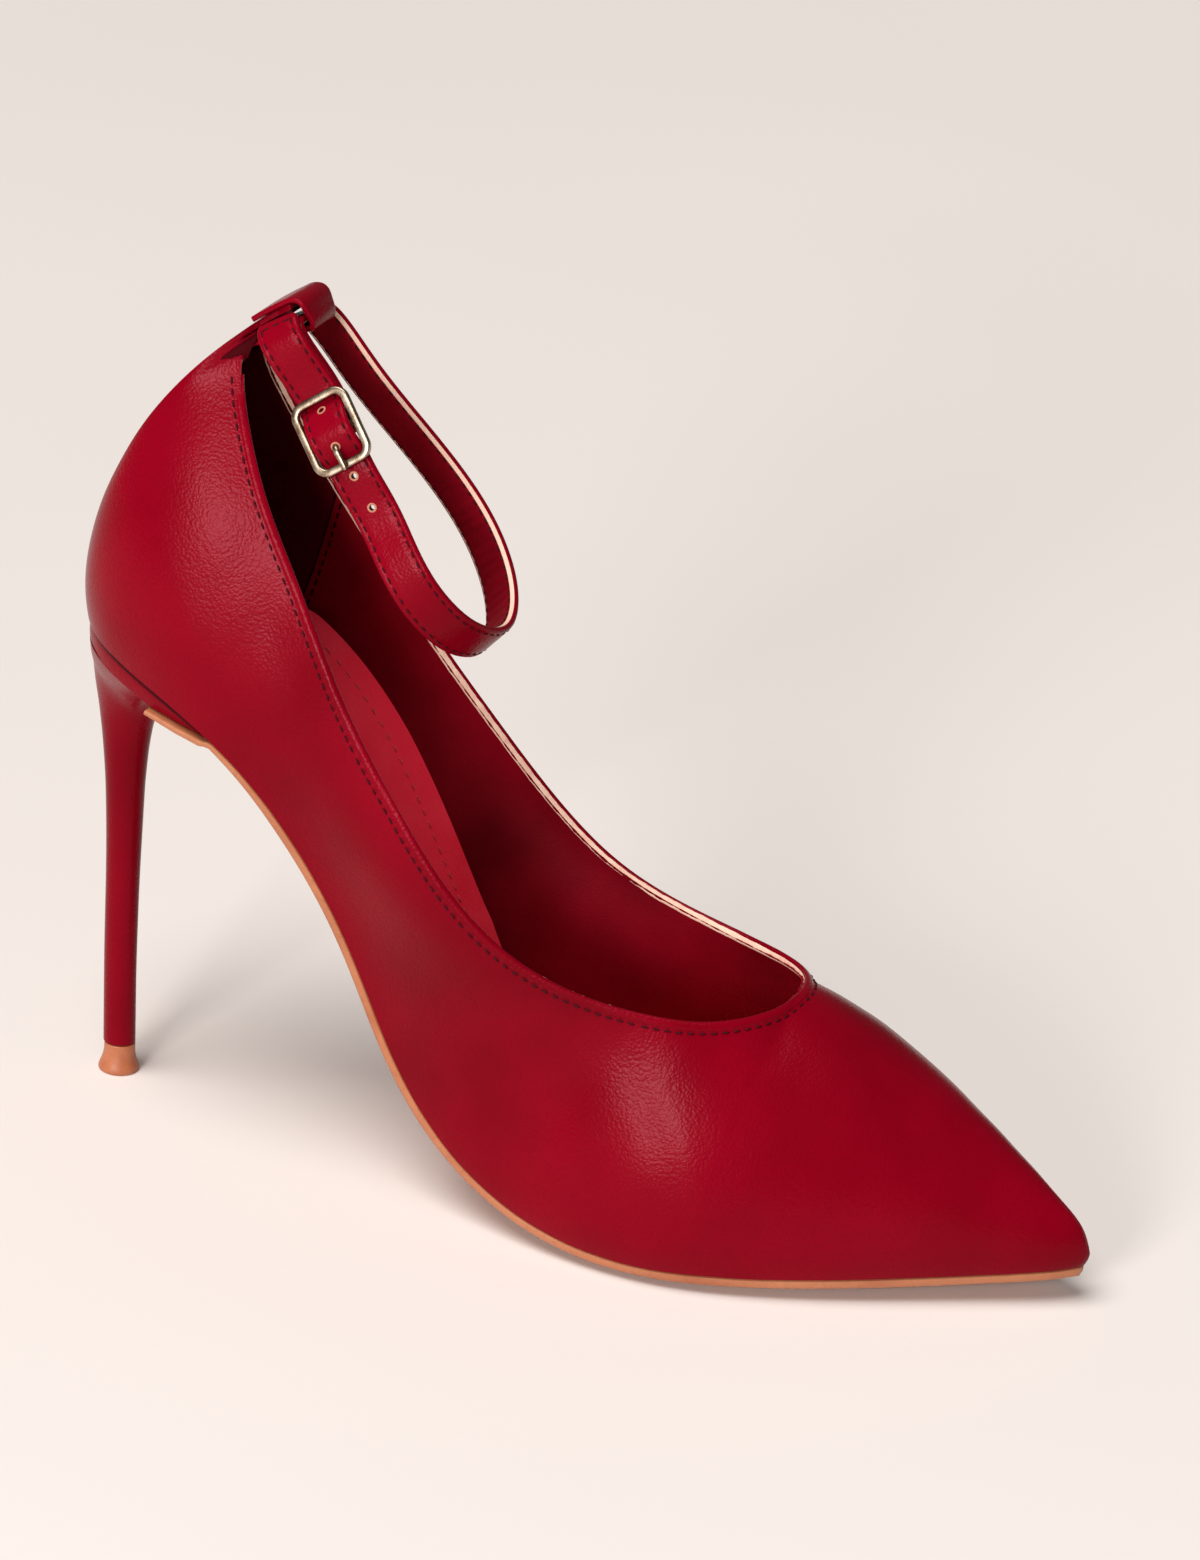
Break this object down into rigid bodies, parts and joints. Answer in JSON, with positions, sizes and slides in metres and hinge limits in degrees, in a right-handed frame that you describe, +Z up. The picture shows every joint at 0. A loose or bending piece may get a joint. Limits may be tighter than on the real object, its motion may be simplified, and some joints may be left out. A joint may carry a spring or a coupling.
{
  "type": "ankle strap pump",
  "caption": "Pointed high stiletto pump for the right foot with a closed toe, a covered thin heel and a narrow buckled ankle strap held at the back.",
  "frame": {"origin": "on the floor under the middle of the whole shoe", "axes": "+X from heel to toe, +Z up, +Y to the inner side of the right foot, buckle at -Y"},
  "size_m": [0.2148, 0.0714, 0.1723],
  "materials": {
    "red_leather": "smooth leather look with fine grain, soft sheen",
    "lining": "thin soft lining, matt",
    "tan_sole": "smooth tan resin",
    "buckle_metal": "aged pewter plating"
  },
  "bodies": {
    "root": {"upper": "red_leather", "insole": "lining", "outsole": "tan_sole", "heel": "red_leather", "heel_tip": "tan_sole", "ankle_strap": "red_leather", "back_loop": "red_leather", "buckle_frame": "buckle_metal", "buckle_prong": "buckle_metal"}
  },
  "joints": []
}
